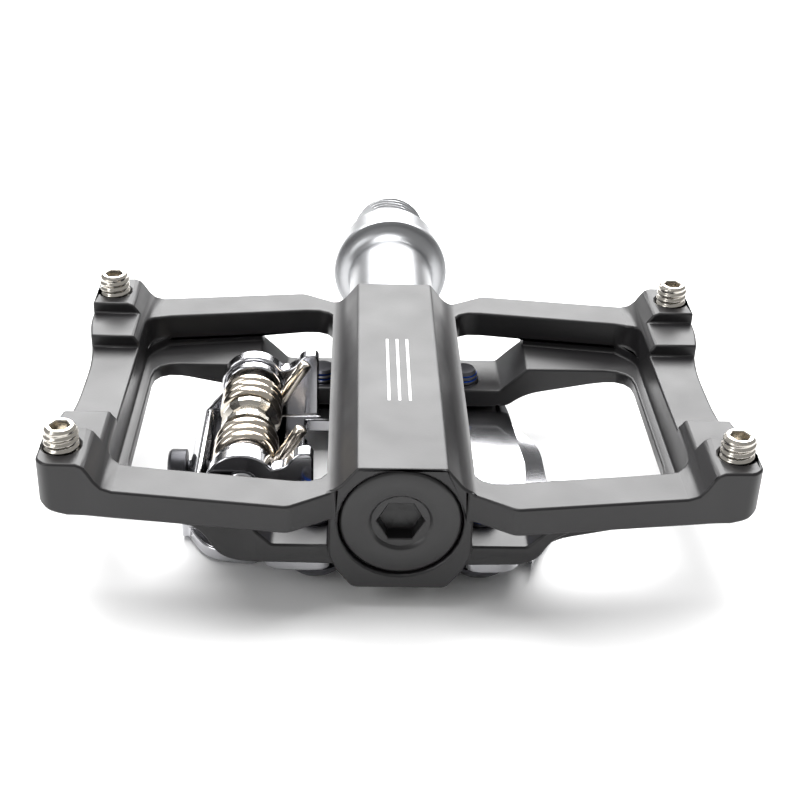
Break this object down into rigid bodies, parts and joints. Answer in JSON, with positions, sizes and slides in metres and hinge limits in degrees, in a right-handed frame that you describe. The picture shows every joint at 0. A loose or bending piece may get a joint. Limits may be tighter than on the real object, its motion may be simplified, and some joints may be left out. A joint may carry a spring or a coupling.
{
  "type": "clipless bicycle pedal",
  "caption": "Platform bicycle pedal with traction pins on one face, a sprung cleat binding on the other, and a bearing-mounted threaded spindle.",
  "frame": {"origin": "on the spindle axis, in the plane of the shoulder that seats on the crank arm", "axes": "+Y along the spindle axis towards the crank, +Z out of the platform (pinned) face, +X towards the front of the pedal, where the fixed claw is"},
  "size_m": [0.102, 0.1115, 0.0272],
  "materials": {
    "anodised_body": "satin black anodised aluminium",
    "black_cap": "black anodised, slightly glossy",
    "nickel_pins": "nickel-plated steel set screws",
    "satin_spindle": "satin turned steel",
    "bearing_steel": "ground bearing steel",
    "bronze_bushing": "sintered bronze",
    "rubber_seal": "black rubber",
    "polished_plates": "mirror-polished chromed steel",
    "black_oxide_steel": "black oxide steel",
    "spring_steel": "bright nickel-plated spring wire"
  },
  "bodies": {
    "spindle": {"spindle": "satin_spindle", "lock_nut": "bearing_steel", "lock_washer": "bearing_steel", "outer_bearing_cone": "bearing_steel", "inner_bearing_cone": "bearing_steel", "bearing_spacer": "bearing_steel"},
    "platform": {"platform_body": "anodised_body", "end_cap": "black_cap", "traction_pin_1": "nickel_pins", "traction_pin_2": "nickel_pins", "traction_pin_3": "nickel_pins", "traction_pin_4": "nickel_pins", "outer_bearing_cup": "bearing_steel", "inner_bearing_cup": "bearing_steel", "axle_bushing": "bronze_bushing", "axle_seal": "rubber_seal", "front_claw": "polished_plates", "front_plate_screw_1": "black_oxide_steel", "front_plate_screw_2": "black_oxide_steel", "rear_binding_base": "polished_plates", "rear_plate_screw_1": "black_oxide_steel", "rear_plate_screw_2": "black_oxide_steel", "pivot_pin": "bearing_steel", "spring_bobbin": "black_oxide_steel", "tension_spring_1": "spring_steel", "tension_spring_2": "spring_steel"},
    "outer_ball_set": {"outer_bearing_balls": "bearing_steel"},
    "inner_ball_set": {"inner_bearing_balls": "bearing_steel"},
    "rear_claw": {"rear_claw": "polished_plates"},
    "tension_screw": {"tension_screw": "black_oxide_steel"},
    "tension_plate": {"tension_plate": "bearing_steel"}
  },
  "joints": [
    {"name": "platform_spin", "type": "hinge", "parent": "spindle", "child": "platform", "pos_m": [0, -0.065, 0], "axis": [0, 1, 0], "continuous": true},
    {"name": "outer_balls_spin", "type": "hinge", "parent": "spindle", "child": "outer_ball_set", "pos_m": [0, -0.065, 0], "axis": [0, 1, 0], "continuous": true},
    {"name": "inner_balls_spin", "type": "hinge", "parent": "spindle", "child": "inner_ball_set", "pos_m": [0, -0.065, 0], "axis": [0, 1, 0], "continuous": true},
    {"name": "claw_release", "type": "hinge", "parent": "platform", "child": "rear_claw", "pos_m": [-0.0236, -0.065, -0.0028], "axis": [0, 1, 0], "range_deg": [0, 18], "stiffness_Nm_per_rad": 6, "springref_deg": -17.19, "deforming": ["tension_spring_1", "tension_spring_2"]},
    {"name": "tension_screw_turn", "type": "hinge", "parent": "rear_claw", "child": "tension_screw", "pos_m": [-0.03, -0.065, -0.0102], "axis": [1, 0, 0], "range_deg": [-720, 0]},
    {"name": "tension_plate_slide", "type": "slide", "parent": "rear_claw", "child": "tension_plate", "axis": [1, 0, 0], "range_m": [0, 0.0016]}
  ],
  "couplings": [
    {"joint": "outer_balls_spin", "follows": "platform_spin", "ratio": 0.58},
    {"joint": "inner_balls_spin", "follows": "platform_spin", "ratio": 0.58},
    {"joint": "tension_screw_turn", "follows": "tension_plate_slide", "rad_per_m": -7854}
  ]
}
